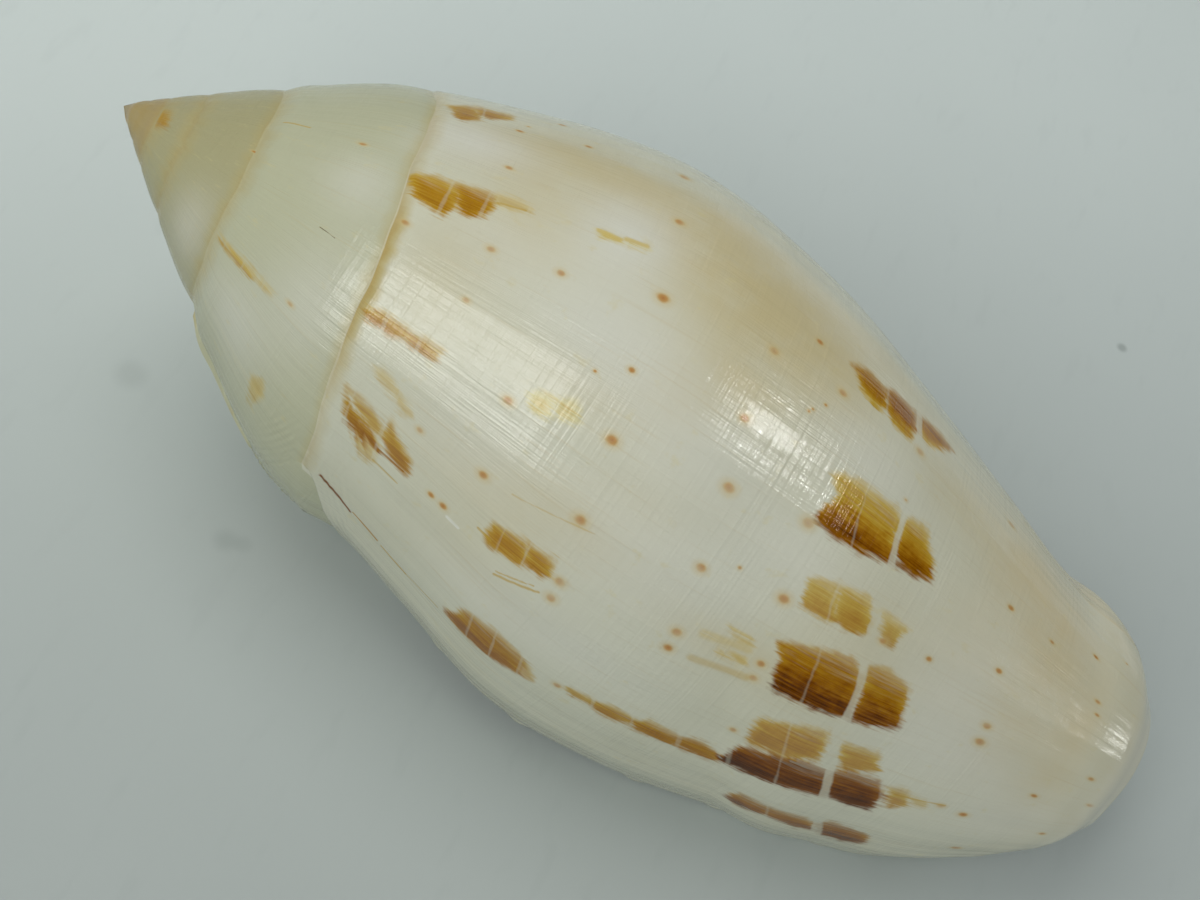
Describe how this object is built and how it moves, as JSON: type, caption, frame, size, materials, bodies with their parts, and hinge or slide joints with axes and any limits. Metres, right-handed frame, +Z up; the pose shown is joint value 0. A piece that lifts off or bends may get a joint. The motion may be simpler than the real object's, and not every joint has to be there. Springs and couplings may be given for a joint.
{
  "type": "sea snail shell",
  "caption": "Glossy oval coiled sea snail shell with a short pointed spire, a long narrow opening along its underside, ridges on its inner column and a notched front end.",
  "frame": {"origin": "on the floor, under the middle of the shell's bounding box, with the shell lying on its opening as it rests by itself", "axes": "+Z up; the spire points towards -X and is tipped up about 10 degrees, the front end points towards +X and the outer lip lies on the -Y side"},
  "size_m": [0.0476, 0.022, 0.0197],
  "materials": {
    "shell": "gloss"
  },
  "bodies": {
    "root": {"shell": "shell"}
  },
  "joints": []
}
